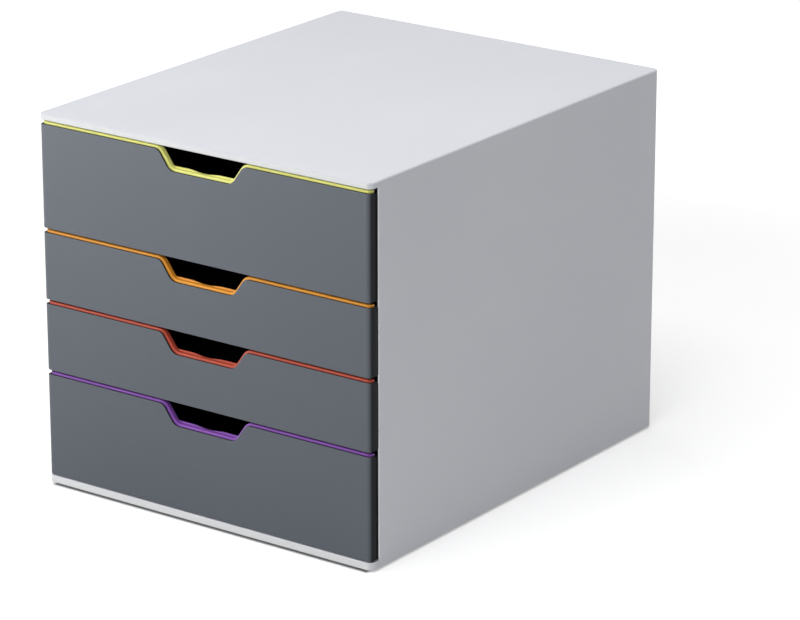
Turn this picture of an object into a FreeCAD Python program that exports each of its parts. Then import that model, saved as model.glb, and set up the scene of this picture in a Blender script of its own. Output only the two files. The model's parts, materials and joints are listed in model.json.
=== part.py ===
"""A desktop drawer tower: one moulded casing, two runner inserts, a back panel, four feet and
four drawers, each of a tray, a coloured grip trim and a front panel.

Millimetres. X runs across the front, Y from the front (-) to the back (+), Z up from the table.
The origin is on the table, under the middle of the casing.
"""
import FreeCAD, Part
import math
import os
import re

import Sketcher

doc = FreeCAD.newDocument("drawer_tower")

# Two places closer than this are one place
SAME = 1e-5
RIGHT_ANGLE = 90

# How high the front panel's hooks sit, and where the back panel's catches sit, as shares of the height
HOOK_SHARES = {"tall_front": (0.25, 0.6), "short_front": (0.4,)}
CATCH_SHARES = (-0.5, 0.5)

# Driving dimensions
SIZES = {
    # casing
    "case_width": 292.0,
    "case_depth": 356.0,
    "wall": 3.0,
    "plate": 3.2,
    "corner_round": 5.0,
    "edge_round": 1.5,
    "base_bevel": 0.6,
    "upper_lip": 4.8,
    "lower_lip": 5.6,
    "lip_reach": 8.6,
    "nose_bevel": 0.6,
    "rim_round": 0.7,
    "rim_edge": 0.9,
    "shadow_depth": 3.0,
    # heights of the front, from the table up
    "foot_rise": 1.5,
    "sill_gap": 0.8,
    "tall_front": 76.8,
    "short_front": 50.1,
    "front_gap": 3.5,
    "head_gap": 3.0,
    # front panels
    "face_setback": 0.4,
    "side_setback": 0.3,
    "skin": 1.4,
    "tall_return": 6.4,
    "short_return": 7.9,
    "end_round": 4.5,
    "face_corner": 2.0,
    # finger notch
    "notch_mouth": 75.0,
    "notch_floor": 54.5,
    "notch_depth": 14.4,
    "notch_crown": 6.5,
    "notch_bowl": 8.0,
    # coloured grip trim
    "grip_gap": 0.4,
    "grip_proud": 1.6,
    "grip_cap": 1.2,
    "grip_leg": 1.0,
    "grip_drop": 3.0,
    "grip_inset": 2.0,
    "grip_end_round": 3.6,
    "scoop_lip": 1.1,
    "scoop_width": 6.0,
    "scoop_slope": 10.0,
    "scoop_round": 20.0,
    # trays
    "side_room": 12.0,
    "tray_wall": 2.0,
    "tray_front": 1.7,
    "wall_inset": 1.4,
    "tray_lift": 1.0,
    "tray_corner": 8.0,
    "tray_belly": 2.4,
    "tray_back_gap": 5.0,
    "rim_drop": 4.0,
    "flange": 2.0,
    # runners and stops
    "runner_web": 2.0,
    "ledge": 2.4,
    "guide": 1.8,
    "flange_gap": 0.6,
    "tray_gap": 2.5,
    "runner_setback": 3.5,
    "stop_inset": 59.6,
    "stop_length": 6.0,
    "stop_height": 4.0,
    "stop_bite": 2.5,
    "tongue_side": 5.0,
    "tongue_root": 14.0,
    "slit": 1.2,
    "keeper": 1.6,
    "keeper_height": 2.5,
    # back panel
    "frame_width": 14.0,
    "frame_round": 4.0,
    "rebate": 4.0,
    "rebate_depth": 1.6,
    "panel_sink": 0.4,
    "panel_field": 1.0,
    "panel_border": 10.0,
    "catch_width": 12.0,
    "catch_arm": 1.4,
    "catch_bite": 1.2,
    "catch_nose": 1.8,
    # panel hooks
    "hook_width": 8.0,
    "hook_arm": 1.6,
    "hook_bite": 1.2,
    "hook_nose": 1.6,
    "hook_inset": 34.0,
    "spacer": 1.4,
    "spacer_gap": 3.0,
    "spacer_margin": 5.0,
    # feet
    "foot_width": 16.0,
    "foot_seat": 1.2,
    "foot_inset": 26.0,
    "foot_bevel": 0.5,
    # clearances
    "fit": 0.1,
    "run_gap": 0.3,
    "guide_gap": 0.5,
    "overrun": 10.0,
}

# Places worked out from the driving dimensions
PLACES = {
    "half_width": "(case_width / 2)",
    "front": "(-case_depth / 2)",
    "back": "(case_depth / 2)",
    "lip_top": "(foot_rise + lower_lip)",
    "bottom_base": "(lip_top + sill_gap)",
    "lower_base": "(bottom_base + tall_front + front_gap)",
    "upper_base": "(lower_base + short_front + front_gap)",
    "top_base": "(upper_base + short_front + front_gap)",
    "lip_under": "(top_base + tall_front + head_gap)",
    "case_top": "(lip_under + upper_lip)",
    "room_floor": "(foot_rise + plate)",
    "room_ceiling": "(case_top - plate)",
    "room_half": "(half_width - wall)",
    "rim_y": "(front + lip_reach)",
    "room_back": "(back - wall)",
    "face_y": "(front + face_setback)",
    "face_half": "(half_width - side_setback)",
    "skin_back": "(face_y + skin)",
    "grip_y": "(skin_back + grip_gap)",
    "grip_depth": "(2 * grip_leg + tray_front + 2 * fit)",
    "wall_y": "(grip_y + grip_leg + fit)",
    "wall_back": "(wall_y + tray_front)",
    "grip_half": "(half_width - grip_inset)",
    "wall_half": "(grip_half - wall_inset)",
    "wall_rise": "(grip_proud - grip_cap)",
    "tray_half": "(room_half - side_room)",
    "tray_rear": "(room_back - tray_back_gap)",
    "flange_rear": "(tray_rear - tray_corner)",
    "web_half": "(room_half - runner_web)",
    "flange_half": "(web_half - flange_gap)",
    "ledge_half": "(tray_half + tray_gap)",
    "runner_y": "(rim_y + runner_setback)",
    "stop_y": "(runner_y + stop_length)",
    "lug_y": "(tray_rear - stop_inset)",
    "travel": "(lug_y - stop_y - run_gap)",
    "notch_run": "((notch_mouth - notch_floor) / 2)",
    "slant_share": "((sqrt(notch_run ^ 2 + notch_depth ^ 2) - notch_run) / notch_depth)",
}

sheet = doc.addObject("Spreadsheet::Sheet", "size")
for row, (name, number) in enumerate(SIZES.items(), 1):
    sheet.set(f"A{row}", name)
    sheet.set(f"B{row}", str(number))
    sheet.setAlias(f"B{row}", name)
doc.recompute()


def formula(text):
    """The text as a formula of the sheet's cells, with every worked-out place written in full."""
    known = re.compile("|".join(rf"\b{name}\b" for name in PLACES))
    while known.search(text):
        text = known.sub(lambda found: PLACES[found.group()], text)
    return re.sub("|".join(rf"\b{name}\b" for name in SIZES), lambda found: "size." + found.group(), text)


def value(text):
    """The number that a formula gives now."""
    return float(sheet.evalExpression(formula(text)))


def near(a, b):
    """Whether two places are the same."""
    return abs(a - b) < SAME


def piece(label):
    """A new sub-part: a body with its own name."""
    body = doc.addObject("PartDesign::Body", label)
    body.Label = label
    return body


def sketch(body, name, plane, offset):
    """An empty sketch, parallel to one of the body's own planes and offset along its normal."""
    made = body.newObject("Sketcher::SketchObject", name)
    planes = [feature for feature in body.Origin.OriginFeatures if feature.Role == plane + "_Plane"]
    made.AttachmentSupport = (planes[0], [""])
    made.MapMode = "FlatFace"
    made.setExpression("AttachmentOffset.Base.z", formula(offset))
    return made


def add_outline(made, corners):
    """Adds a closed outline of straight sides, with each corner held by two formulas."""
    first = made.GeometryCount
    spots = [FreeCAD.Vector(value(across), value(up), 0) for across, up in corners]
    for spot, following in zip(spots, spots[1:] + spots[:1]):
        made.addGeometry(Part.LineSegment(spot, following), False)
    for step, (across, up) in enumerate(corners):
        line = first + step
        following = first + (step + 1) % len(corners)
        made.addConstraint(Sketcher.Constraint("Coincident", line, 2, following, 1))
        for kind, text in (("DistanceX", across), ("DistanceY", up)):
            held = made.addConstraint(Sketcher.Constraint(kind, -1, 1, line, 1, value(text)))
            made.setExpression(f"Constraints[{held}]", formula(text))


def add_circle(made, across, up, radius):
    """Adds a circle whose centre and radius follow formulas."""
    centre = FreeCAD.Vector(value(across), value(up), 0)
    ring = made.addGeometry(Part.Circle(centre, FreeCAD.Vector(0, 0, 1), value(radius)), False)
    for kind, text in (("DistanceX", across), ("DistanceY", up)):
        held = made.addConstraint(Sketcher.Constraint(kind, -1, 1, ring, 3, value(text)))
        made.setExpression(f"Constraints[{held}]", formula(text))
    held = made.addConstraint(Sketcher.Constraint("Radius", ring, value(radius)))
    made.setExpression(f"Constraints[{held}]", formula(radius))


def add_corner_cut(made, across, up, side, rise, radius):
    """Adds the outline that cuts a corner round: side and rise, each 1 or -1, say which way it points."""
    inner = f"{across} - {side} * {radius}"
    under = f"{up} - {rise} * {radius}"
    outer = f"{across} + {side} * overrun"
    over = f"{up} + {rise} * overrun"
    corners = [(inner, up), (inner, over), (outer, over), (outer, under), (across, under)]
    first = made.GeometryCount
    spots = [FreeCAD.Vector(value(x), value(y), 0) for x, y in corners]
    for spot, following in zip(spots, spots[1:]):
        made.addGeometry(Part.LineSegment(spot, following), False)
    centre = FreeCAD.Vector(value(inner), value(under), 0)
    turns = (1, 2) if side * rise < 0 else (0, 1)
    start = math.radians(RIGHT_ANGLE * (turns[0] if rise > 0 else turns[0] + 2))
    circle = Part.Circle(centre, FreeCAD.Vector(0, 0, 1), value(radius))
    arc = made.addGeometry(Part.ArcOfCircle(circle, start, start + math.radians(RIGHT_ANGLE)), False)
    ends = (1, 2) if side * rise < 0 else (2, 1)
    last = arc - 1
    for line in range(first, last):
        made.addConstraint(Sketcher.Constraint("Coincident", line, 2, line + 1, 1))
    made.addConstraint(Sketcher.Constraint("Coincident", first, 1, arc, ends[0]))
    made.addConstraint(Sketcher.Constraint("Coincident", last, 2, arc, ends[1]))
    made.addConstraint(Sketcher.Constraint("Horizontal", last))
    held = [(line, 1, x, y) for line, (x, y) in zip(range(first, arc), corners)] + [(arc, 3, inner, under)]
    for line, end, x, y in held:
        for kind, text in (("DistanceX", x), ("DistanceY", y)):
            number = made.addConstraint(Sketcher.Constraint(kind, -1, 1, line, end, value(text)))
            made.setExpression(f"Constraints[{number}]", formula(text))


def rectangle(left, right, low, high):
    """The corners of a rectangle, in order."""
    return [(left, low), (right, low), (right, high), (left, high)]


def feature(kind, body, name, plane, offset, length, outlines, reverse=False):
    """A pad or a pocket of one or more outlines."""
    made = sketch(body, name + "_outline", plane, offset)
    for corners in outlines:
        add_outline(made, corners)
    return extrude(kind, body, name, made, length, reverse)


def extrude(kind, body, name, profile, length, reverse=False):
    """Pads or pockets a sketch, and checks that the solid grew or shrank as it should."""
    before = body.Shape.Volume if body.Tip else 0
    made = body.newObject("PartDesign::" + kind, name)
    made.Profile = profile
    made.setExpression("Length", formula(length))
    made.Reversed = reverse
    doc.recompute()
    change = made.Shape.Volume - before
    if (change > 0) != (kind == "Pad") or near(change, 0):
        raise ValueError(f"{body.Label}: {name} changed the volume by {change}")
    return made


def pad(body, name, plane, offset, length, outlines, reverse=False):
    """Material added along the plane's normal."""
    return feature("Pad", body, name, plane, offset, length, outlines, reverse)


def pocket(body, name, plane, offset, length, outlines, reverse=False):
    """Material taken away against the plane's normal."""
    return feature("Pocket", body, name, plane, offset, length, outlines, reverse)


def through(formula_text):
    """Where a sketch on the XZ plane is attached to lie at a Y place: its normal points to -Y."""
    return f"-({formula_text})"


def dress_edges(kind, body, name, amount, wanted):
    """A fillet or a chamfer on the body's edges that the test picks."""
    base = body.Tip
    chosen = [f"Edge{number}" for number, edge in enumerate(base.Shape.Edges, 1) if wanted(edge)]
    if not chosen:
        raise ValueError(f"{body.Label}: {name} found no edge")
    made = body.newObject("PartDesign::" + kind, name)
    made.Base = (base, chosen)
    made.setExpression("Radius" if kind == "Fillet" else "Size", formula(amount))
    doc.recompute()
    if made.Shape.isNull() or not made.Shape.isValid():
        raise ValueError(f"{body.Label}: {name} failed")
    return made


def round_edges(body, name, radius, wanted):
    """Rounds the edges that the test picks."""
    return dress_edges("Fillet", body, name, radius, wanted)


def bevel_edges(body, name, size, wanted):
    """Bevels the edges that the test picks."""
    return dress_edges("Chamfer", body, name, size, wanted)


def hollow_out(body, name, wall, ends):
    """Turns the solid into a shell with even walls, left open at the flat faces on the given levels."""
    base = body.Tip
    chosen = []
    for axis, level in ends:
        flat = flat_at(axis, level)
        chosen += [f"Face{number}" for number, face in enumerate(base.Shape.Faces, 1) if flat(face)]
    made = body.newObject("PartDesign::Thickness", name)
    made.Base = (base, chosen)
    made.setExpression("Value", formula(wall))
    made.Reversed = True
    doc.recompute()
    return made


def runs_along(edge, axis):
    """Whether an edge is straight and parallel to the named axis."""
    if edge.Curve.TypeId != "Part::GeomLine":
        return False
    ends = [vertex.Point for vertex in edge.Vertexes]
    other = [name for name in "xyz" if name != axis]
    return all(near(getattr(ends[0], name), getattr(ends[1], name)) for name in other)


def lines_at(axis, *spots):
    """A test for straight edges along an axis that pass through one of the spots."""
    others = [name for name in "xyz" if name != axis]
    places = [[value(text) for text in spot] for spot in spots]

    def wanted(edge):
        if not runs_along(edge, axis):
            return False
        point = edge.Vertexes[0].Point
        return any(all(near(getattr(point, name), place) for name, place in zip(others, spot)) for spot in places)

    return wanted


def flat_at(axis, *levels):
    """A test for edges and faces that lie wholly at one of the levels along an axis."""
    places = [value(text) for text in levels]
    high = axis.upper() + "Max"
    low = axis.upper() + "Min"

    def wanted(edge):
        box = edge.BoundBox
        return any(near(getattr(box, high), place) and near(getattr(box, low), place) for place in places)

    return wanted


def notch_corners(height, rise, half):
    """The top edge of a front wall, from its left end to its right end, with the finger notch in it.
    rise is how far this edge stands off the front panel's own edge, square to it all along."""
    shift = f"({rise}) * slant_share"
    top = f"{height} + {rise}"
    floor = f"{height} - notch_depth + {rise}"
    left = [
        (f"-({half})", top),
        (f"-notch_mouth / 2 + {shift}", top),
        (f"-notch_floor / 2 + {shift}", floor),
    ]
    right = [(f"-({across})", up) for across, up in reversed(left)]
    return left + right


def round_notch(body, name, height, rise):
    """Rounds the notch's four corners; the radii follow the same stand-off as the edge."""
    corners = notch_corners(height, rise, "half_width")
    round_edges(body, name + "_crowns", f"notch_crown + {rise}", lines_at("y", corners[1], corners[4]))
    round_edges(body, name + "_bowls", f"notch_bowl - ({rise})", lines_at("y", corners[2], corners[3]))


# Casing

def make_casing():
    """The outer shell: top, base, sides, the two front lips and the frame round the back opening."""
    body = piece("casing")
    whole = rectangle("-half_width", "half_width", "front", "back")
    pad(body, "block", "XY", "foot_rise", "case_top - foot_rise", [whole])
    round_edges(body, "upright_corners", "corner_round", lambda edge: runs_along(edge, "z"))
    round_edges(body, "top_edges", "edge_round", flat_at("z", "case_top"))
    bevel_edges(body, "base_edges", "base_bevel", flat_at("z", "foot_rise"))

    mouth = rectangle("-half_width - overrun", "half_width + overrun", "lip_top", "lip_under")
    pocket(body, "mouth", "XZ", through("front - overrun"), "lip_reach + overrun", [mouth])
    room = rectangle("-room_half", "room_half", "room_floor", "room_ceiling")
    pocket(body, "room", "XZ", through("rim_y"), "room_back - rim_y", [room])
    rim_ends = (("half_width", "rim_y"), ("-half_width", "rim_y"))
    round_edges(body, "side_rims", "rim_round", lines_at("z", *rim_ends))
    nose = flat_at("z", "lip_top", "lip_under")
    before_rim = value("rim_y") - SAME
    bevel_edges(body, "lip_noses", "nose_bevel", lambda edge: nose(edge) and edge.BoundBox.YMin < before_rim)
    shadow_gap = rectangle("-half_width + rim_edge", "half_width - rim_edge", "lip_top", "lip_under")
    pocket(body, "shadow_gap", "XZ", through("rim_y - fit"), "shadow_depth + fit", [shadow_gap])

    opening = rectangle(
        "-half_width + frame_width",
        "half_width - frame_width",
        "foot_rise + frame_width",
        "case_top - frame_width",
    )
    seat = rectangle(
        "-half_width + frame_width - rebate",
        "half_width - frame_width + rebate",
        "foot_rise + frame_width - rebate",
        "case_top - frame_width + rebate",
    )
    pocket(body, "back_opening", "XZ", through("back"), "wall + fit", [opening], reverse=True)
    pocket(body, "back_rebate", "XZ", through("back"), "rebate_depth", [seat], reverse=True)
    round_edges(body, "opening_corners", "frame_round", lines_at("y", *opening, *seat))

    keeper_low = "web_half - fit - keeper"
    keeper_high = "web_half - fit"
    keepers = []
    for low, high in (("room_floor - fit", "room_floor + keeper_height"),
                      ("room_ceiling - keeper_height", "room_ceiling + fit")):
        keepers.append(rectangle(keeper_low, keeper_high, low, high))
        keepers.append(rectangle(f"-({keeper_high})", f"-({keeper_low})", low, high))
    pad(body, "runner_keepers", "XZ", through("room_back + fit"), "room_back + fit - runner_y", keepers)

    seats = sketch(body, "foot_seats_outline", "XY", "foot_rise")
    for across, along in foot_places():
        add_circle(seats, across, along, "foot_width / 2 + fit")
    extrude("Pocket", body, "foot_seats", seats, "foot_seat", reverse=True)
    return body


def foot_places():
    """Where the four feet are, seen from above."""
    sides = "half_width - foot_inset"
    ends = "back - foot_inset"
    return [(f"{a} * ({sides})", f"{b} * ({ends})") for b in (-1, 1) for a in (-1, 1)]


def make_feet():
    """Four rubber pads, each pressed into its seat in the base."""
    names = ("foot_front_left", "foot_front_right", "foot_rear_left", "foot_rear_right")
    for name, (across, along) in zip(names, foot_places()):
        body = piece(name)
        disc = sketch(body, "disc_outline", "XY", "0")
        add_circle(disc, "0", "0", "foot_width / 2")
        extrude("Pad", body, "disc", disc, "foot_rise + foot_seat")
        bevel_edges(body, "tread_edge", "foot_bevel", flat_at("z", "0"))
        body.setExpression("Placement.Base.x", formula(across))
        body.setExpression("Placement.Base.y", formula(along))


def make_back_panel():
    """The panel that closes the back: a flange in the casing's rebate, a plug in the opening,
    a sunk field and catches that snap behind the frame."""
    body = piece("back_panel")
    outer = "frame_width - rebate + fit"
    inner = "frame_width + fit"
    flange = rectangle(
        f"-half_width + {outer}", f"half_width - ({outer})", f"foot_rise + {outer}", f"case_top - ({outer})"
    )
    plug = rectangle(
        f"-half_width + {inner}", f"half_width - ({inner})", f"foot_rise + {inner}", f"case_top - ({inner})"
    )
    border = "frame_width + panel_border"
    field = rectangle(
        f"-half_width + {border}", f"half_width - ({border})", f"foot_rise + {border}", f"case_top - ({border})"
    )
    outside = through("back - panel_sink")
    pad(body, "flange_plate", "XZ", outside, "rebate_depth - panel_sink", [flange])
    round_edges(body, "flange_corners", "frame_round", lambda edge: runs_along(edge, "y"))
    pad(body, "plug", "XZ", outside, "wall - panel_sink", [plug])
    round_edges(body, "plug_corners", "frame_round", lines_at("y", *plug))
    pocket(body, "field", "XZ", outside, "panel_field", [field], reverse=True)
    round_edges(body, "field_corners", "frame_round", lines_at("y", *field))

    arms = []
    noses = []
    middle = "(foot_rise + case_top) / 2"
    reach = f"half_width - ({inner})"
    rise = f"case_top - ({inner})"
    for side in (-1, 1):
        for share in CATCH_SHARES:
            low = f"{middle} + {share} * ({rise} - {middle}) - catch_width / 2"
            high = f"{low} + catch_width"
            edge_x = f"{side} * ({reach})"
            arms.append(rectangle(edge_x, f"{side} * ({reach} - catch_arm)", low, high))
            noses.append(rectangle(f"{side} * ({reach} + catch_bite)", f"{side} * ({reach} - catch_arm)", low, high))
    pad(body, "catch_arms", "XZ", through("room_back + fit"), "2 * fit + catch_nose", arms)
    pad(body, "catch_noses", "XZ", through("room_back - fit"), "catch_nose", noses)
    return body


# Runners

CHANNELS = (("bottom_base", "tall_front"), ("lower_base", "short_front"),
            ("upper_base", "short_front"), ("top_base", "tall_front"))


def make_runner(label, side):
    """One side's insert: a web against the casing's wall, and for each drawer a ledge that carries
    its flange, a guide above it, a stop under the ledge's front end and a closed rear end."""
    body = piece(label)
    web = rectangle(f"{side} * web_half", f"{side} * room_half", "room_floor", "room_ceiling - fit")
    length = "room_back - fit - runner_y"
    pad(body, "web", "XZ", through("room_back - fit"), length, [web])
    ledges = []
    stops = []
    ends = []
    for base, height in CHANNELS:
        rest = f"{base} + {height} - rim_drop - flange - run_gap"
        inner = f"{side} * ledge_half"
        root = f"{side} * (web_half + runner_web / 2)"
        ledges.append(rectangle(inner, root, f"{rest} - ledge", rest))
        ceiling = f"{base} + {height} - rim_drop + guide_gap"
        ledges.append(rectangle(inner, root, ceiling, f"{ceiling} + guide"))
        stops.append(rectangle(inner, root, f"{rest} - ledge - stop_height", f"{rest} - ledge / 2"))
        ends.append(rectangle(inner, root, f"{rest} - ledge / 2", f"{ceiling} + guide / 2"))
    pad(body, "channels", "XZ", through("room_back - fit"), length, ledges)
    pad(body, "stops", "XZ", through("stop_y"), "stop_length", stops)
    pad(body, "channel_ends", "XZ", through("room_back - fit"), "room_back - fit - flange_rear - run_gap", ends)
    return body


# Drawers

def hook_spots(height):
    """The middle of each hook, seen from the front."""
    reach = "tray_half - hook_inset"
    return [(f"{side} * ({reach})", f"{share} * {height}") for share in HOOK_SHARES[height] for side in (-1, 1)]


def make_front(label, height, depth, base):
    """The front panel: a thin skin with rounded ends that turn back as returns, and the finger notch."""
    body = piece(label)
    block = rectangle("-face_half", "face_half", "face_y", f"face_y + {depth}")
    pad(body, "block", "XY", "0", height, [block])
    round_edges(body, "ends", "end_round", lines_at("z", ("face_half", "face_y"), ("-face_half", "face_y")))
    mouth = notch_corners(height, "0", "notch_mouth / 2")[1:5]
    above = [(mouth[3][0], f"{height} + overrun"), (mouth[0][0], f"{height} + overrun")]
    pocket(body, "notch", "XZ", through("face_y - overrun"), f"{depth} + 2 * overrun", [mouth + above])
    round_notch(body, "notch", height, "0")
    inside = rectangle("-face_half + skin", "face_half - skin", "skin_back", f"face_y + {depth} + overrun")
    pocket(body, "hollow", "XY", "-overrun", f"{height} + 2 * overrun", [inside], reverse=True)
    inner = (("face_half - skin", "skin_back"), ("-face_half + skin", "skin_back"))
    round_edges(body, "inner_ends", "end_round - skin", lines_at("z", *inner))
    corners = sketch(body, "corners_outline", "XZ", through("face_y - overrun"))
    for side in (-1, 1):
        add_corner_cut(corners, f"{side} * face_half", "0", side, -1, "face_corner")
        add_corner_cut(corners, f"{side} * face_half", height, side, 1, "face_corner")
    extrude("Pocket", body, "corners", corners, f"{depth} + 2 * overrun")

    arms = []
    noses = []
    for across, level in hook_spots(height):
        left = f"{across} - hook_width / 2"
        right = f"{across} + hook_width / 2"
        low = f"{level} - hook_arm / 2"
        high = f"{level} + hook_arm / 2"
        arms.append(rectangle(left, right, low, high))
        noses.append(rectangle(left, right, low, f"{high} + hook_bite"))
    tip = "wall_back + fit + hook_nose"
    pad(body, "hook_arms", "XZ", through(tip), f"{tip} - skin_back + skin / 2", arms)
    pad(body, "hook_noses", "XZ", through(tip), "hook_nose", noses)
    spacers = []
    for side in (-1, 1):
        for turn in (-1, 1):
            middle = f"{side} * (tray_half - hook_inset + {turn} * (hook_width / 2 + spacer_gap))"
            edges = (f"{middle} - spacer / 2", f"{middle} + spacer / 2")
            spacers.append(rectangle(*edges, "spacer_margin", f"{height} - grip_drop - spacer_margin"))
    pad(body, "spacers", "XZ", through("wall_y"), "wall_y - skin_back + skin / 2", spacers)
    body.setExpression("Placement.Base.z", formula(base))
    return body


def make_grip(label, height, base):
    """The coloured trim: it caps the tray's front wall, lines the finger notch, and has a low lip
    along the back of the notch's floor with a shallow scoop in its middle."""
    body = piece(label)
    upper = notch_corners(height, "grip_proud", "grip_half")
    lower = notch_corners(height, "-grip_drop", "grip_half")
    pad(body, "band", "XZ", through("grip_y + grip_depth"), "grip_depth", [upper + lower[::-1]])
    round_edges(body, "ends", "grip_end_round", lines_at("z", ("grip_half", "grip_y"), ("-grip_half", "grip_y")))
    round_notch(body, "top", height, "grip_proud")
    round_edges(body, "under_bowls", "notch_bowl + grip_drop", lines_at("y", *lower[2:4]))

    slot = notch_corners(height, "grip_proud - grip_cap", "grip_half + overrun")
    foot = f"{height} - notch_depth - grip_drop - overrun"
    below = [(slot[5][0], foot), (slot[0][0], foot)]
    slot_width = "tray_front + 2 * fit"
    pocket(body, "slot", "XZ", through("grip_y + grip_leg"), slot_width, [slot + below])
    round_notch(body, "slot", height, "grip_proud - grip_cap")

    floor = f"{height} - notch_depth + grip_proud"
    wide = "(notch_floor / 2)"
    lip = [
        (f"-{wide}", f"{floor} - grip_cap / 2"),
        (wide, f"{floor} - grip_cap / 2"),
        (wide, f"{floor} + scoop_lip"),
        ("scoop_width / 2 + scoop_slope", f"{floor} + scoop_lip"),
        ("scoop_width / 2", floor),
        ("-scoop_width / 2", floor),
        ("-scoop_width / 2 - scoop_slope", f"{floor} + scoop_lip"),
        (f"-{wide}", f"{floor} + scoop_lip"),
    ]
    pad(body, "lip", "XZ", through("grip_y + grip_depth"), "grip_leg", [lip])
    round_edges(body, "scoop", "scoop_round", lines_at("y", *lip[3:7]))
    body.setExpression("Placement.Base.z", formula(base))
    return body


def make_tray(label, height, base):
    """The tray: a moulded box with a wide front wall, side flanges for the runners, and a stop lug on
    a springy tongue in each side wall."""
    body = piece(label)
    rim = f"{height} - rim_drop"
    outer = rectangle("-tray_half", "tray_half", "wall_y", "tray_rear")
    pad(body, "box", "XY", "tray_lift", f"{rim} - tray_lift", [outer])
    rear = (("tray_half", "tray_rear"), ("-tray_half", "tray_rear"))
    round_edges(body, "rear_corners", "tray_corner", lines_at("z", *rear))
    under = flat_at("z", "tray_lift")
    open_end = flat_at("y", "wall_y")
    bevel_edges(body, "belly", "tray_belly", lambda edge: under(edge) and not open_end(edge))
    hollow_out(body, "tray_walls", "tray_wall", (("z", rim), ("y", "wall_y")))

    top = notch_corners(height, "wall_rise", "wall_half")
    wall = top + [("wall_half", "tray_lift"), ("-wall_half", "tray_lift")]
    pad(body, "front_wall", "XZ", through("wall_back"), "tray_front", [wall])
    round_notch(body, "wall", height, "wall_rise")

    ends = ("wall_back - tray_front / 2", "flange_rear")
    flanges = [
        rectangle("tray_half - tray_wall / 2", "flange_half", *ends),
        rectangle("-flange_half", "-tray_half + tray_wall / 2", *ends),
    ]
    pad(body, "flanges", "XY", f"{rim} - flange", "flange", flanges)

    lug_top = f"{rim} - flange - run_gap - ledge - run_gap"
    lug_low = f"{lug_top} - stop_height + run_gap"
    lugs = [
        rectangle("tray_half - tray_wall / 2", "ledge_half + stop_bite", lug_low, lug_top),
        rectangle("-ledge_half - stop_bite", "-tray_half + tray_wall / 2", lug_low, lug_top),
    ]
    pad(body, "stop_lugs", "XZ", through("lug_y + stop_length"), "stop_length", lugs)

    near_y = "lug_y - tongue_side"
    far_y = "lug_y + stop_length + tongue_side"
    crest = f"{lug_top} + run_gap"
    slits = [
        (f"{near_y} - slit", f"{lug_low} - tongue_root"),
        (near_y, f"{lug_low} - tongue_root"),
        (near_y, crest),
        (far_y, crest),
        (far_y, f"{lug_low} - tongue_root"),
        (f"{far_y} + slit", f"{lug_low} - tongue_root"),
        (f"{far_y} + slit", f"{crest} + slit"),
        (f"{near_y} - slit", f"{crest} + slit"),
    ]
    pocket(body, "tongue_slits", "YZ", "tray_half + overrun", "2 * tray_half + 2 * overrun", [slits])

    slots = []
    for across, level in hook_spots(height):
        left = f"{across} - hook_width / 2 - 2 * fit"
        right = f"{across} + hook_width / 2 + 2 * fit"
        low = f"{level} - hook_arm / 2 - hook_bite - fit"
        slots.append(rectangle(left, right, low, f"{level} + hook_arm / 2 + fit"))
    pocket(body, "hook_slots", "XZ", through("wall_y - fit"), "tray_front + 2 * fit", slots)
    body.setExpression("Placement.Base.z", formula(base))
    return body


def make_drawer(name, height, depth, base):
    """The three pieces of one drawer."""
    make_tray(f"{name}_drawer_tray", height, base)
    make_grip(f"{name}_drawer_grip", height, base)
    make_front(f"{name}_drawer_front", height, depth, base)


make_casing()
make_back_panel()
make_runner("left_runner", -1)
make_runner("right_runner", 1)
make_feet()
make_drawer("top", "tall_front", "tall_return", "top_base")
make_drawer("upper", "short_front", "short_return", "upper_base")
make_drawer("lower", "short_front", "short_return", "lower_base")
make_drawer("bottom", "tall_front", "tall_return", "bottom_base")
doc.recompute()

# Checks and files
failed = [made.Name for made in doc.Objects if {"Invalid", "Error"} & set(made.State)]
if failed:
    raise ValueError(f"these failed: {failed}")
bodies = [made for made in doc.Objects if made.TypeId == "PartDesign::Body"]
for body in bodies:
    if body.Shape.isNull() or not body.Shape.isValid() or len(body.Shape.Solids) != 1:
        raise ValueError(f"{body.Label} has no single valid solid")

os.makedirs("parts", exist_ok=True)
print(f"travel: {value('travel'):.1f}")
for body in bodies:
    body.Shape.exportStep(f"parts/{body.Label}.step")
    box = body.Shape.BoundBox
    print(f"{body.Label}: {box.XLength:.1f} x {box.YLength:.1f} x {box.ZLength:.1f}, {body.Shape.Volume:.0f} mm3")
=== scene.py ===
"""A desktop drawer tower in light grey and slate plastic, with coloured trims round its finger notches."""
import json
import math

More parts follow.
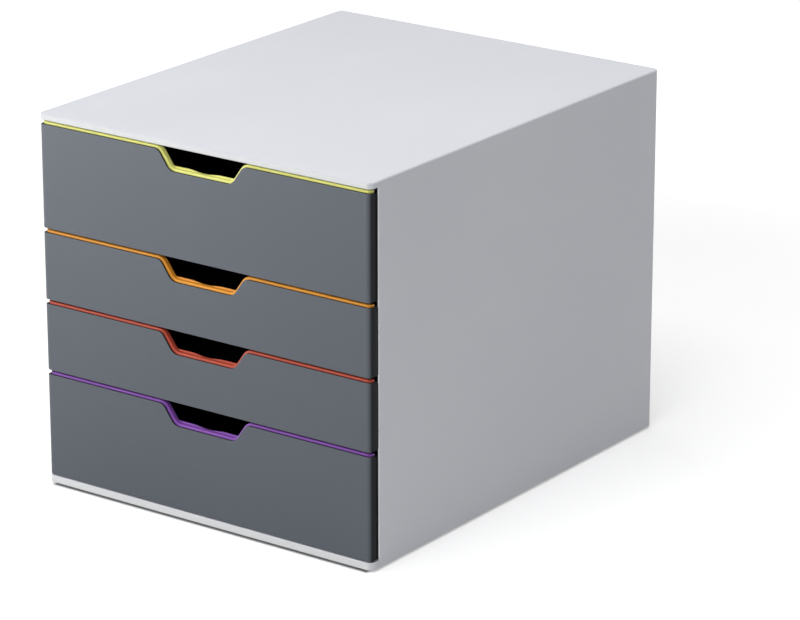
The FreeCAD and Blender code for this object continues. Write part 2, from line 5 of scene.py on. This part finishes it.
import bmesh
import bpy
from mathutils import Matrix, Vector


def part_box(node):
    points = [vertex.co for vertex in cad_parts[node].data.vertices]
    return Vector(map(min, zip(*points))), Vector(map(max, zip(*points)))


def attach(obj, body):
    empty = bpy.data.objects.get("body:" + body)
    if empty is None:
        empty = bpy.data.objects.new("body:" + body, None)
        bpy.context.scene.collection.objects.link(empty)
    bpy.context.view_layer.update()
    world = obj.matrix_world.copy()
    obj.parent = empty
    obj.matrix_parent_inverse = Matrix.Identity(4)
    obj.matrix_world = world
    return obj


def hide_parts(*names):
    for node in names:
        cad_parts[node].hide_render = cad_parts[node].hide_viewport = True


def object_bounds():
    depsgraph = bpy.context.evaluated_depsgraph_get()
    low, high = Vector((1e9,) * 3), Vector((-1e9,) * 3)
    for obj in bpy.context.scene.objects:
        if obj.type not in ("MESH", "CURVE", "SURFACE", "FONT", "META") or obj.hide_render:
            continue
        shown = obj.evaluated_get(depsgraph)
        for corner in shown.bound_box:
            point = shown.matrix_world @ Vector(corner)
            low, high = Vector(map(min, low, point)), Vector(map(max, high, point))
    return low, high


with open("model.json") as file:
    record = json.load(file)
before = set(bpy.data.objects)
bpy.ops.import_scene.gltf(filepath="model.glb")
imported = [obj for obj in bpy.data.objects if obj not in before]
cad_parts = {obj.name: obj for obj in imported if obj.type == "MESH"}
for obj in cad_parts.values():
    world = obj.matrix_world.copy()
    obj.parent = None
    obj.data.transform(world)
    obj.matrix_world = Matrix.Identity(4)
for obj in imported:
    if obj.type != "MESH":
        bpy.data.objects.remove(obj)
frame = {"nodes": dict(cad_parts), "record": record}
cad_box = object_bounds()

DRAWERS = ("top", "upper", "lower", "bottom")
MM = 0.001

# Sizes of the coloured trims, in millimetres, as the solids have them
NOTCH_MOUTH = 75.0
NOTCH_FLOOR = 54.5
NOTCH_DEPTH = 14.4
NOTCH_CROWN = 6.5
NOTCH_BOWL = 8.0
TRIM_PROUD = 1.6
TRIM_CAP = 1.2
TRIM_LEG = 1.0
TRIM_DROP = 3.0
TRIM_END_ROUND = 3.6
LIP_HEIGHT = 1.1
LIP_FOOT = 0.15
SCOOP_HALF = 2.0
SCOOP_SLOPE = 12.0
CAP_ROUND = 0.8
LEG_ROUND = 0.2

# How finely a trim is swept: the step along its edge, in millimetres, and the points on each rounded
# corner of the edge and of the section
SWEEP_STEP = 0.7
EDGE_POINTS = 10
SECTION_POINTS = 3

# Vertices closer than this are one, in metres
MERGE = 2e-6

# Angles of the dressed solids, in degrees: what counts as flat, what is softened, what stays crisp
FLAT_WITHIN = 0.6
SOFTEN_OVER = 38
CRISP_OVER = 42

# Where the finishes change, in metres: the heights of the casing's side rims and how far back they are,
# which get a painted highlight, the height above which the upper lip's front edge lies, with painted shade,
# how far behind their faces the tall fronts' returns are painted darkest with shade, and how soft such a
# border is
RIM_HEIGHTS = (0.0095, 0.2740)
RIM_REACH = 0.0125
BROW_HEIGHT = 0.271
RETURN_SHADE = 0.0047
SOFT = 0.001


# Node trees

class Wire:
    """One value on its way through a node tree; sums and products of wires add the nodes."""

    def __init__(self, nodes, socket):
        self.nodes = nodes
        self.socket = socket

    def reckon(self, operation, *others):
        return self.nodes.add("ShaderNodeMath", {"operation": operation}, dict(enumerate((self, *others))))

    def __add__(self, other):
        return self.reckon("ADD", other)

    def __sub__(self, other):
        return self.reckon("SUBTRACT", other)

    def __mul__(self, other):
        return self.reckon("MULTIPLY", other)

    def __truediv__(self, other):
        return self.reckon("DIVIDE", other)

    __radd__ = __add__
    __rmul__ = __mul__

    def __rsub__(self, other):
        return self * -1 + other

    def __neg__(self):
        return self * -1

    def __abs__(self):
        return self.reckon("ABSOLUTE")

    def root(self):
        return self.reckon("SQRT")

    def least(self, other):
        return self.reckon("MINIMUM", other)

    def most(self, other):
        return self.reckon("MAXIMUM", other)

    def fade(self, low, high, start=0.0, end=1.0):
        """From start to end, softly, as the value goes from low to high."""
        sockets = {"Value": self, "From Min": low, "From Max": high, "To Min": start, "To Max": end}
        return self.nodes.add("ShaderNodeMapRange", {"interpolation_type": "SMOOTHSTEP"}, sockets)

    def past(self, limit, soft):
        """1 beyond a limit, 0 before it, over a soft border."""
        return self.fade(limit - soft / 2, limit + soft / 2)

    def within(self, limits, soft):
        """1 between two limits, over soft borders."""
        return self.past(limits[0], soft) * (1 - self.past(limits[1], soft))


class Nodes:
    """A node tree under construction."""

    def __init__(self, tree):
        self.tree = tree
        self.tree.nodes.clear()

    def plug(self, node, name, value):
        """Links a wire to a node's socket, or sets the socket's own value."""
        if isinstance(value, Wire):
            self.tree.links.new(value.socket, node.inputs[name])
        else:
            node.inputs[name].default_value = value

    def add(self, kind, settings=None, sockets=None, out=0):
        """Adds a node: its settings first, then the values or wires of its sockets."""
        node = self.tree.nodes.new(kind)
        for name, value in (settings or {}).items():
            setattr(node, name, value)
        for name, value in (sockets or {}).items():
            self.plug(node, name, value)
        return Wire(self, node.outputs[out]) if len(node.outputs) else None

    def watched(self):
        """1 for what the camera sees, straight or in a gloss or through a clear piece."""
        path = self.add("ShaderNodeLightPath").socket.node
        seen = [Wire(self, path.outputs[f"Is {kind} Ray"]) for kind in ("Camera", "Glossy", "Transmission")]
        return seen[0].most(seen[1]).most(seen[2])

    def parts(self, vector):
        """The three numbers of a vector."""
        split = self.add("ShaderNodeSeparateXYZ", sockets={0: vector}).socket.node
        return [Wire(self, socket) for socket in split.outputs]


# Finishes

class Finish(Nodes):
    """A material under construction."""

    def __init__(self, name):
        self.material = bpy.data.materials.new(name)
        self.material.use_nodes = True
        super().__init__(self.material.node_tree)

    def place(self):
        """Where a point is on the object, in metres."""
        return self.add("ShaderNodeTexCoord", out="Object")

    def spot(self):
        """Where a point is on the object: across, from front to back, and up."""
        return self.parts(self.place())

    def facing(self):
        """Which way the surface faces: the three numbers of its normal."""
        return self.parts(self.add("ShaderNodeNewGeometry", out="Normal"))

    def cloud(self, scale, detail=2.0, rough=0.5, stretch=(1, 1, 1)):
        """Soft noise from 0 to 1; the scale is in features per metre."""
        where = self.add("ShaderNodeMapping", sockets={"Vector": self.place(), "Scale": stretch})
        sockets = {"Vector": where, "Scale": scale, "Detail": detail, "Roughness": rough}
        return self.add("ShaderNodeTexNoise", sockets=sockets)

    def edges(self, reach):
        """1 on the piece's edges, 0 further than the reach from them."""
        rounded = self.add("ShaderNodeBevel", {"samples": 4}, {"Radius": reach})
        flat = self.add("ShaderNodeNewGeometry", out="Normal")
        settings = {"operation": "DOT_PRODUCT"}
        along = self.add("ShaderNodeVectorMath", settings, {0: rounded, 1: flat}, out="Value")
        return along.fade(0.86, 0.995, 1.0, 0.0)

    def tint(self, amount, first, second):
        """Two colours, mixed by an amount."""
        node = self.tree.nodes.new("ShaderNodeMix")
        node.data_type = "RGBA"
        for spot, value in ((0, amount), (6, first), (7, second)):
            self.plug(node, spot, (*value, 1) if isinstance(value, tuple) else value)
        return Wire(self, node.outputs[2])

    def bumps(self, *layers):
        """A normal with each layer's height on it: (height, depth in metres)."""
        normal = {}
        for height, depth in layers:
            made = self.add("ShaderNodeBump", sockets={"Height": height, "Distance": depth, **normal})
            normal = {"Normal": made}
        return made

    def plastic(self, **sockets):
        """The standard shader."""
        named = {name.replace("_", " "): value for name, value in sockets.items()}
        return self.add("ShaderNodeBsdfPrincipled", sockets=named)

    def ends_in(self, shader):
        """Ends the material in a shader."""
        self.add("ShaderNodeOutputMaterial", sockets={"Surface": shader})
        return self.material

    def surface(self, **sockets):
        """Ends the material in the standard shader."""
        return self.ends_in(self.plastic(**sockets))


def casing_plastic():
    """Light grey, moulded with a fine even grain; paler and smoother on handled edges; painted paler as a
    highlight on the rims beside the drawers, painted a shade deeper along the upper lip's front edge, and
    painted less blue where it faces the front light."""
    finish = Finish("casing_plastic")
    _, y, z = finish.spot()
    _, ahead, up = finish.facing()
    in_front = 1 - y.past(cad_box[0][1] + RIM_REACH, SOFT)
    # painted highlight: the rims beside the drawers that face the front are made paler, where light catches
    # them
    rim_highlight = (-ahead).fade(0.15, 0.60) * z.within(RIM_HEIGHTS, SOFT) * in_front
    # painted shade: the rounded front edge of the upper lip is made a shade deeper, against its highlight
    painted_brow_shade = (up * -ahead).fade(0.06, 0.42) * z.past(BROW_HEIGHT, 2 * SOFT)
    broad = finish.cloud(5.0, 3.0)
    fine = finish.cloud(1500.0, 2.0, 0.6)
    grain = finish.cloud(2600.0, 1.0)
    flow = finish.cloud(18.0, 4.0, 0.55, stretch=(1.0, 0.25, 1.0))
    wear = finish.edges(0.0012) * finish.cloud(60.0, 4.0).fade(0.35, 0.7)
    colour = finish.tint(broad.fade(0.3, 0.7), (0.602, 0.614, 0.658), (0.624, 0.636, 0.678))
    colour = finish.tint(flow.fade(0.45, 0.75, 0.0, 0.35), colour, (0.642, 0.654, 0.690))
    colour = finish.tint(fine.fade(0.3, 0.7, 0.0, 0.18), colour, (0.55, 0.56, 0.59))
    colour = finish.tint(wear * 0.25, colour, (0.70, 0.705, 0.730))
    # painted light: faces toward the front are tinted less blue, the tone the front light gives them, not a
    # tone of the plastic
    colour = finish.tint((-ahead).fade(0.70, 0.98, 0.0, 0.7), colour, (0.612, 0.620, 0.610))
    # painted highlight on the rims
    colour = finish.tint(rim_highlight * 0.9, colour, (0.88, 0.885, 0.90))
    # painted shade along the upper lip's front edge
    colour = finish.tint(painted_brow_shade, colour, (0.540, 0.548, 0.588))
    rough = 0.46 + fine * 0.10 + broad * 0.06 - wear * 0.08
    normal = finish.bumps((grain, 0.000035), (fine, 0.00003), (flow, 0.00008))
    return finish.surface(Base_Color=colour, Roughness=rough, Normal=normal, Specular_IOR_Level=0.25)


def front_plastic():
    """Slate, satin on the face, with a fine grain, faint flow marks and a rub where fingers reach the notch;
    the sides and cut edges are a duller copy painted darker with shade, darkest with painted shade at the
    back of the tall ones' returns, and a painted highlight runs as a pale hairline where face and edge meet."""
    finish = Finish("front_plastic")
    x, y, z = finish.spot()
    face_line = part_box("top_drawer_front")[0][1]
    _, ahead, _ = finish.facing()
    # painted shade: faces turned from the front get the darker, duller shaded copy of the face
    side = (-ahead).fade(0.60, 0.99, 1.0, 0.0)
    broad = finish.cloud(9.0, 3.0)
    fine = finish.cloud(1700.0, 2.0, 0.6)
    grain = finish.cloud(2800.0, 1.0)
    flow = finish.cloud(14.0, 4.0, 0.6, stretch=(0.35, 1.0, 1.6))
    rub = abs(x).fade(0.030, 0.062, 1.0, 0.0) * finish.cloud(35.0, 4.0).fade(0.4, 0.75)
    # painted highlight: a pale line along the face's edges
    painted_edge_highlight = finish.edges(0.0006) * (1 - side)
    wear = finish.edges(0.0012) * finish.cloud(80.0, 4.0).fade(0.4, 0.75)
    colour = finish.tint(broad.fade(0.3, 0.7), (0.0255, 0.0312, 0.0410), (0.0288, 0.0344, 0.0442))
    colour = finish.tint(flow.fade(0.45, 0.75, 0.0, 0.4), colour, (0.0330, 0.0394, 0.0515))
    colour = finish.tint(fine.fade(0.3, 0.7, 0.0, 0.25), colour, (0.021, 0.026, 0.038))
    # paler for wear on the edges, and a painted highlight along the face's edges
    colour = finish.tint(wear * 0.15 + painted_edge_highlight * 0.35, colour, (0.110, 0.115, 0.125))
    rough = 0.42 + fine * 0.10 + broad * 0.05 - rub * 0.05
    normal = finish.bumps((grain, 0.00003), (fine, 0.00003), (flow, 0.00006))
    cool = (0.86, 0.92, 1.0, 1.0)
    face = finish.plastic(
        Base_Color=colour, Roughness=rough, Normal=normal, Specular_IOR_Level=0.90, Specular_Tint=cool
    )
    # painted shade: the colour of the sides and cut edges
    painted_side_shade = finish.tint(fine.fade(0.3, 0.7, 0.0, 0.3), (0.0212, 0.0227, 0.0258), (0.0298, 0.0313, 0.0345))
    painted_side_shade = finish.tint(wear * 0.25, painted_side_shade, (0.060, 0.064, 0.070))
    short_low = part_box("lower_drawer_front")[0][2] - SOFT
    short_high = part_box("upper_drawer_front")[1][2] + SOFT
    short = z.within((short_low, short_high), SOFT)
    # painted shade: near black at the back of the tall fronts' returns, where the gap beside them is in
    # shadow
    rear = y.past(face_line + RETURN_SHADE, 1.4 * SOFT) * (1 - short)
    painted_side_shade = finish.tint(rear, painted_side_shade, (0.001, 0.001, 0.001))
    # the shaded copy of the face, in painted shade, with little gloss
    edge = finish.plastic(Base_Color=painted_side_shade, Roughness=rough + 0.08, Normal=normal, Specular_IOR_Level=0.05)
    return finish.ends_in(finish.add("ShaderNodeMixShader", sockets={0: side, 1: face, 2: edge}))


def trim_plastic(name, colour, deep):
    """A coloured, satin trim: dyed through, with a fine grain, paler where thumbs rub its edges."""
    finish = Finish(name)
    broad = finish.cloud(30.0, 3.0)
    fine = finish.cloud(1800.0, 2.0, 0.6)
    wear = finish.edges(0.0005) * finish.cloud(120.0, 4.0).fade(0.35, 0.7)
    pale = tuple(level * 0.7 + 0.25 for level in colour)
    body = finish.tint(broad.fade(0.3, 0.7, 0.0, 0.35), colour, deep)
    body = finish.tint(fine.fade(0.3, 0.7, 0.0, 0.15), body, deep)
    body = finish.tint(wear * 0.2, body, pale)
    rough = 0.36 + fine * 0.12 - wear * 0.06
    normal = finish.bumps((fine, 0.00003))
    return finish.surface(Base_Color=body, Roughness=rough, Normal=normal, Specular_IOR_Level=0.3)


def inner_plastic(name, shade):
    """Near-black moulded plastic of the trays and the runners, with drag marks along the slides."""
    finish = Finish(name)
    broad = finish.cloud(12.0, 3.0)
    fine = finish.cloud(1400.0, 2.0, 0.6)
    drag = finish.cloud(300.0, 3.0, 0.6, stretch=(1.0, 0.02, 1.0)).fade(0.5, 0.8)
    wear = finish.edges(0.0008) * finish.cloud(90.0, 4.0).fade(0.35, 0.7)
    pale = tuple(level * 1.35 for level in shade)
    colour = finish.tint(broad.fade(0.3, 0.7), shade, pale)
    colour = finish.tint(drag * 0.3 + wear * 0.5, colour, tuple(level * 2.2 for level in shade))
    rough = 0.50 + fine * 0.12 - drag * 0.06 - wear * 0.08
    normal = finish.bumps((fine, 0.00004), (drag, 0.00002))
    return finish.surface(Base_Color=colour, Roughness=rough, Normal=normal, Specular_IOR_Level=0.35)


def foot_rubber():
    """Matte black rubber, a little dusty, scuffed grey at its edges."""
    finish = Finish("foot_rubber")
    dust = finish.cloud(220.0, 4.0, 0.6).fade(0.45, 0.8)
    fine = finish.cloud(2200.0, 2.0)
    wear = finish.edges(0.0006)
    colour = finish.tint(dust * 0.5 + wear * 0.3, (0.022, 0.022, 0.023), (0.070, 0.068, 0.065))
    rough = 0.78 + dust * 0.12
    normal = finish.bumps((fine, 0.00005))
    return finish.surface(Base_Color=colour, Roughness=rough, Normal=normal, Specular_IOR_Level=0.3)


FINISHES = {
    "shell": casing_plastic(),
    "front_plastic": front_plastic(),
    "tray_plastic": inner_plastic("tray_plastic", (0.016, 0.016, 0.017)),
    "inner_plastic": inner_plastic("runner_plastic", (0.020, 0.020, 0.021)),
    "foot_rubber": foot_rubber(),
    "trim_yellow": trim_plastic("trim_yellow", (0.82, 0.82, 0.24), (0.76, 0.74, 0.16)),
    "trim_orange": trim_plastic("trim_orange", (0.80, 0.33, 0.035), (0.70, 0.26, 0.02)),
    "trim_red": trim_plastic("trim_red", (0.50, 0.078, 0.042), (0.42, 0.056, 0.030)),
    "trim_violet": trim_plastic("trim_violet", (0.235, 0.078, 0.41), (0.18, 0.055, 0.33)),
}


# Pieces

def material_slot(node):
    """The record's material slot of a node."""
    return next(part["material_slot"] for part in frame["record"]["subparts"] if part["node"] == node)


def stand_for(made, node):
    """The piece rides where the node rides, stands for it and has its finish."""
    bodies = frame["record"]["behaviour"]["bodies"]
    made.data.materials.clear()
    made.data.materials.append(FINISHES[material_slot(node)])
    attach(made, next(name for name, nodes in bodies.items() if node in nodes))
    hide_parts(node)


def dressed(node, bevel):
    """A copy of a solid with its flat faces joined, its sharp edges softened and its rounds smooth."""
    made = bpy.data.objects.new(node + "_moulding", frame["nodes"][node].data.copy())
    bpy.context.scene.collection.objects.link(made)
    shape = bmesh.new()
    shape.from_mesh(made.data)
    bmesh.ops.remove_doubles(shape, verts=shape.verts, dist=MERGE)
    bmesh.ops.dissolve_limit(
        shape, angle_limit=math.radians(FLAT_WITHIN), verts=shape.verts, edges=shape.edges, delimit={"NORMAL"}
    )
    for face in shape.faces:
        face.smooth = True
    shape.to_mesh(made.data)
    shape.free()
    soften = made.modifiers.new("soft edges", "BEVEL")
    soften.width = bevel
    soften.segments = 3
    soften.limit_method = "ANGLE"
    soften.angle_limit = math.radians(SOFTEN_OVER)
    soften.harden_normals = True
    made.modifiers.new("even shading", "WEIGHTED_NORMAL")
    stand_for(made, node)


# Coloured trims

class Sweep(Nodes):
    """A geometry node tree that sweeps the trim's section along the notched edge."""

    def __init__(self, name, sizes):
        super().__init__(bpy.data.node_groups.new(name, "GeometryNodeTree"))
        self.tree.interface.new_socket("Geometry", in_out="OUTPUT", socket_type="NodeSocketGeometry")
        for size in sizes:
            self.tree.interface.new_socket(size, in_out="INPUT", socket_type="NodeSocketFloat")
        self.tree.interface.new_socket("Finish", in_out="INPUT", socket_type="NodeSocketMaterial")
        given = self.tree.nodes.new("NodeGroupInput")
        self.given = {socket.name: Wire(self, socket) for socket in given.outputs if socket.name}

    def by_index(self, *values):
        """The first value for the first point, the second for the second, and so on."""
        node = self.tree.nodes.new("GeometryNodeIndexSwitch")
        node.data_type = "FLOAT"
        for _ in values[2:]:
            node.index_switch_items.new()
        self.plug(node, 0, self.add("GeometryNodeInputIndex"))
        for spot, value in enumerate(values, 1):
            self.plug(node, spot, value)
        return Wire(self, node.outputs[0])

    def corner_line(self, corners, up, points, closed=False):
        """A line through corners, each (across, rise, radius), with its rises along the named axis."""
        across, rises, radii = zip(*corners)
        line = self.add("GeometryNodeCurvePrimitiveLine", sockets={"End": (1, 0, 0)})
        line = self.add("GeometryNodeResampleCurve", sockets={"Curve": line, "Count": len(corners)})
        spot = {"X": self.by_index(*across), up: self.by_index(*rises)}
        place = self.add("ShaderNodeCombineXYZ", sockets=spot)
        line = self.add("GeometryNodeSetPosition", sockets={"Geometry": line, "Position": place})
        line = self.add("GeometryNodeSetSplineCyclic", sockets={"Geometry": line, "Cyclic": closed})
        sockets = {"Curve": line, "Count": points, "Radius": self.by_index(*radii), "Limit Radius": True}
        return self.add("GeometryNodeFilletCurve", {"mode": "POLY"}, sockets)


TRIM_SIZES = (
    "Length", "Top", "Front", "Depth", "Mouth", "Floor", "Notch Depth", "Crown", "Bowl",
    "Cap", "Leg", "Drop", "End Round", "Lip", "Scoop Half", "Scoop Slope",
)


def trim_tree():
    """The trim's section, an upturned channel, follows the front's edge down into the notch and out again;
    then its ends are rounded back and the rear edge of the notch's floor is raised to a scooped lip."""
    sweep = Sweep("trim_sweep", TRIM_SIZES)
    given = sweep.given
    top, front, depth = given["Top"], given["Front"], given["Depth"]
    half, mouth, floor = given["Length"] / 2, given["Mouth"] / 2, given["Floor"] / 2
    bed = top - given["Notch Depth"]
    crown, bowl = given["Crown"], given["Bowl"]
    edge = sweep.corner_line(
        [(-half, top, 0.0), (-mouth, top, crown), (-floor, bed, bowl),
         (floor, bed, bowl), (mouth, top, crown), (half, top, 0.0)], "Z", EDGE_POINTS,
    )
    sockets = {"Curve": edge, "Length": SWEEP_STEP * MM}
    edge = sweep.add("GeometryNodeResampleCurve", {"mode": "LENGTH"}, sockets)
    edge = sweep.add("GeometryNodeSetCurveNormal", {"mode": "Z_UP"}, {"Curve": edge})

    side, leg, cap, drop = depth / 2, given["Leg"], given["Cap"], given["Drop"]
    soft, crisp = CAP_ROUND * MM, LEG_ROUND * MM
    section = sweep.corner_line(
        [(-side, 0.0, crisp), (-side + leg - LIP_FOOT * MM, 0.0, 0.0), (-side + leg, 0.0, 0.0),
         (side, 0.0, soft), (side, drop, crisp), (side - leg, drop, crisp), (side - leg, cap, crisp),
         (-side + leg, cap, crisp), (-side + leg, drop, crisp), (-side, drop, crisp)],
        "Y", SECTION_POINTS, closed=True,
    )
    x, y, z = sweep.parts(sweep.add("GeometryNodeInputPosition"))
    rear = sweep.add("FunctionNodeCompare", {"operation": "LESS_THAN"}, {0: x, 1: -side + leg - 0.1 * MM})
    level = sweep.add("FunctionNodeCompare", {"operation": "LESS_THAN"}, {0: y, 1: cap / 2})
    raised = sweep.add("FunctionNodeBooleanMath", {"operation": "AND"}, {0: rear, 1: level})
    sockets = {"Geometry": section, "Name": "lip", "Value": raised}
    section = sweep.add("GeometryNodeStoreNamedAttribute", {"data_type": "FLOAT"}, sockets)

    sockets = {"Curve": edge, "Profile Curve": section, "Fill Caps": True}
    band = sweep.add("GeometryNodeCurveToMesh", sockets=sockets)
    reach = given["End Round"]
    turn = reach - (half - abs(x)).least(reach)
    arc = reach - (reach * reach - turn * turn).most(0.0).root()
    scoop = abs(x).fade(given["Scoop Half"], given["Scoop Half"] + given["Scoop Slope"])
    lip = sweep.add("GeometryNodeInputNamedAttribute", {"data_type": "FLOAT"}, {"Name": "lip"})
    raised_to = z.most(bed + given["Lip"] * scoop)
    place = sweep.add(
        "ShaderNodeCombineXYZ",
        sockets={"X": x, "Y": (y + front + side).most(front + arc), "Z": z + (raised_to - z) * lip},
    )
    band = sweep.add("GeometryNodeSetPosition", sockets={"Geometry": band, "Position": place})
    band = sweep.add("GeometryNodeRealizeInstances", sockets={"Geometry": band})
    band = sweep.add("GeometryNodeSetMaterial", sockets={"Geometry": band, "Material": given["Finish"]})
    sweep.add("NodeGroupOutput", sockets={0: band})
    return sweep.tree


def make_trim(drawer, tree):
    """One drawer's coloured trim, swept to the box of its solid."""
    node = f"{drawer}_drawer_grip"
    low, high = (Vector(corner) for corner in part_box(node))
    run = (NOTCH_MOUTH - NOTCH_FLOOR) / 2
    inset = TRIM_PROUD * (math.hypot(run, NOTCH_DEPTH) - run) / NOTCH_DEPTH
    sizes = {
        "Length": high.x - low.x,
        "Top": high.z,
        "Front": low.y,
        "Depth": high.y - low.y,
        "Mouth": (NOTCH_MOUTH - 2 * inset) * MM,
        "Floor": (NOTCH_FLOOR - 2 * inset) * MM,
        "Notch Depth": NOTCH_DEPTH * MM,
        "Crown": (NOTCH_CROWN + TRIM_PROUD) * MM,
        "Bowl": (NOTCH_BOWL - TRIM_PROUD) * MM,
        "Cap": TRIM_CAP * MM,
        "Leg": TRIM_LEG * MM,
        "Drop": (TRIM_PROUD + TRIM_DROP) * MM,
        "End Round": TRIM_END_ROUND * MM,
        "Lip": LIP_HEIGHT * MM,
        "Scoop Half": SCOOP_HALF * MM,
        "Scoop Slope": SCOOP_SLOPE * MM,
        "Finish": FINISHES[material_slot(node)],
    }
    seed = bpy.data.objects.new(node + "_seed", bpy.data.meshes.new(node + "_seed"))
    bpy.context.scene.collection.objects.link(seed)
    sweep = seed.modifiers.new("sweep", "NODES")
    sweep.node_group = tree
    for item in tree.interface.items_tree:
        if item.in_out == "INPUT":
            sweep[item.identifier] = sizes[item.name]
    bpy.context.view_layer.update()
    graph = bpy.context.evaluated_depsgraph_get()
    data = bpy.data.meshes.new_from_object(seed.evaluated_get(graph))
    bpy.data.objects.remove(seed)
    made = bpy.data.objects.new(node + "_sweep", data)
    bpy.context.scene.collection.objects.link(made)
    shape = bmesh.new()
    shape.from_mesh(data)
    bmesh.ops.remove_doubles(shape, verts=shape.verts, dist=MERGE)
    bmesh.ops.recalc_face_normals(shape, faces=shape.faces)
    for face in shape.faces:
        face.smooth = True
    shape.to_mesh(data)
    shape.free()
    data.set_sharp_from_angle(angle=math.radians(CRISP_OVER))
    stand_for(made, node)


dressed("casing", 0.25 * MM)
dressed("back_panel", 0.2 * MM)
for side in ("left", "right"):
    dressed(f"{side}_runner", 0.2 * MM)
    dressed(f"foot_front_{side}", 0.3 * MM)
    dressed(f"foot_rear_{side}", 0.3 * MM)
sweep_tree = trim_tree()
for drawer in DRAWERS:
    dressed(f"{drawer}_drawer_front", 0.2 * MM)
    dressed(f"{drawer}_drawer_tray", 0.2 * MM)
    make_trim(drawer, sweep_tree)


# Floor, light and camera

# The camera, from the photograph's edges: its lens in pixels, its direction in degrees, and metres
PHOTO_WIDTH = 800
FOCAL_PIXELS = 3937
CAMERA_AZIMUTH = 36.03
CAMERA_ELEVATION = 18.88
CAMERA_DISTANCE = 2.882
AIM_HEIGHT = 0.113
AIM_RIGHT = 0.0326

# The floor, in metres: its radius, between which distances from the middle its glow rises, where the painted
# line of shadow under the object ends before the front, and how far in under the sides the floor is left
# light, outside the painted shadow
FLOOR_RADIUS = 30.0
NEAR_RISE = (0.55, 1.05)
FAR_RISE = (1.15, 2.6)
CONTACT = 0.0005
SIDE_GLOW = 0.005

# Levels: the floor's paper in the open and its painted shadow under the object, its glow to the camera
# near and round the object, and the surround's light
PAPER = (0.80, 0.80, 0.80)
PAINTED_SHADOW_UNDER = (0.34, 0.34, 0.34)
NEAR_GLOW = 0.34
ROUND_GLOW = 0.665
SKY_LIGHT = 0.12

# The middle of the object, in metres, and the lamps: azimuth and elevation in degrees, distance, width
# and height in metres, and power in watts
MIDDLE = Vector((0, 0, 0.14))
SOFTBOXES = {
    "overhead": (0, 86, 1.5, 1.6, 1.6, 22.0),
    "front_window": (9, 32, 1.8, 1.5, 1.2, 11.6),
    "left_sheen": (-48, 8, 1.5, 0.8, 0.6, 10.6),
    "right_front": (28, 18, 1.8, 0.8, 0.8, 1.7),
    "right_fill": (132, 20, 1.5, 0.9, 0.9, 2.4),
}


def direction(azimuth, elevation):
    """Which way to look out from the middle; azimuth 0 is in front of the object, 90 on its right."""
    a, e = math.radians(azimuth), math.radians(elevation)
    return Vector((math.sin(a) * math.cos(e), -math.cos(a) * math.cos(e), math.sin(e)))


def make_floor():
    """A plain pale floor: white to the camera, with the object's shadow kept, and a painted shadow under the
    object, where the paper is darker and has no glow.
    """
    shape = bmesh.new()
    bmesh.ops.create_circle(shape, cap_ends=True, radius=FLOOR_RADIUS, segments=96)
    data = bpy.data.meshes.new("floor")
    shape.to_mesh(data)
    shape.free()
    floor = bpy.data.objects.new("floor", data)
    bpy.context.scene.collection.objects.link(floor)
    finish = Finish("floor_paper")
    x, y, _ = finish.spot()
    away = (x * x + y * y).root()
    far = away.fade(*NEAR_RISE, NEAR_GLOW, ROUND_GLOW) + away.fade(*FAR_RISE, 0.0, 1.0 - ROUND_GLOW)
    beyond = (abs(x) - cad_box[1][0] + SIDE_GLOW).most(abs(y) - cad_box[1][1])
    # painted shadow: under the object the paper is darker and has no glow
    outside = beyond.past(CONTACT, 4 * SOFT)
    paper = finish.tint(outside, PAINTED_SHADOW_UNDER, PAPER)
    paper = finish.add("ShaderNodeBsdfDiffuse", sockets={"Color": paper})
    glow = finish.add("ShaderNodeEmission", sockets={"Strength": finish.watched() * far * outside})
    both = finish.add("ShaderNodeAddShader", sockets={0: paper, 1: glow})
    finish.add("ShaderNodeOutputMaterial", sockets={"Surface": both})
    data.materials.append(finish.material)


def make_world():
    """An even pale surround, white where the camera, a gloss or a clear piece sees it."""
    world = bpy.data.worlds.new("studio")
    world.use_nodes = True
    air = Nodes(world.node_tree)
    strength = air.watched().fade(0.0, 1.0, SKY_LIGHT, 1.0)
    light = air.add("ShaderNodeBackground", sockets={"Strength": strength})
    air.add("ShaderNodeOutputWorld", sockets={"Surface": light})
    bpy.context.scene.world = world


def make_softbox(name, azimuth, elevation, distance, width, height, power):
    """A flat soft lamp, aimed at the middle of the object."""
    lamp = bpy.data.lights.new(name, "AREA")
    lamp.shape = "RECTANGLE"
    lamp.size = width
    lamp.size_y = height
    lamp.energy = power
    holder = bpy.data.objects.new(name, lamp)
    out = direction(azimuth, elevation)
    holder.location = MIDDLE + out * distance
    holder.rotation_euler = (-out).to_track_quat("-Z", "Y").to_euler()
    bpy.context.scene.collection.objects.link(holder)


def make_camera():
    """A long lens in front and to the right, above the object's top."""
    data = bpy.data.cameras.new("camera")
    data.sensor_width = 36.0
    data.lens = data.sensor_width * FOCAL_PIXELS / PHOTO_WIDTH
    camera = bpy.data.objects.new("camera", data)
    back = direction(CAMERA_AZIMUTH, CAMERA_ELEVATION)
    right = Vector((-back.y, back.x, 0)).normalized()
    aim = Vector((0, 0, AIM_HEIGHT)) + right * AIM_RIGHT
    camera.location = aim + back * CAMERA_DISTANCE
    camera.rotation_euler = (-back).to_track_quat("-Z", "Y").to_euler()
    bpy.context.scene.collection.objects.link(camera)
    bpy.context.scene.camera = camera


make_floor()
make_world()
for name, lamp in SOFTBOXES.items():
    make_softbox(name, *lamp)
make_camera()
bpy.context.scene.view_settings.view_transform = "Standard"
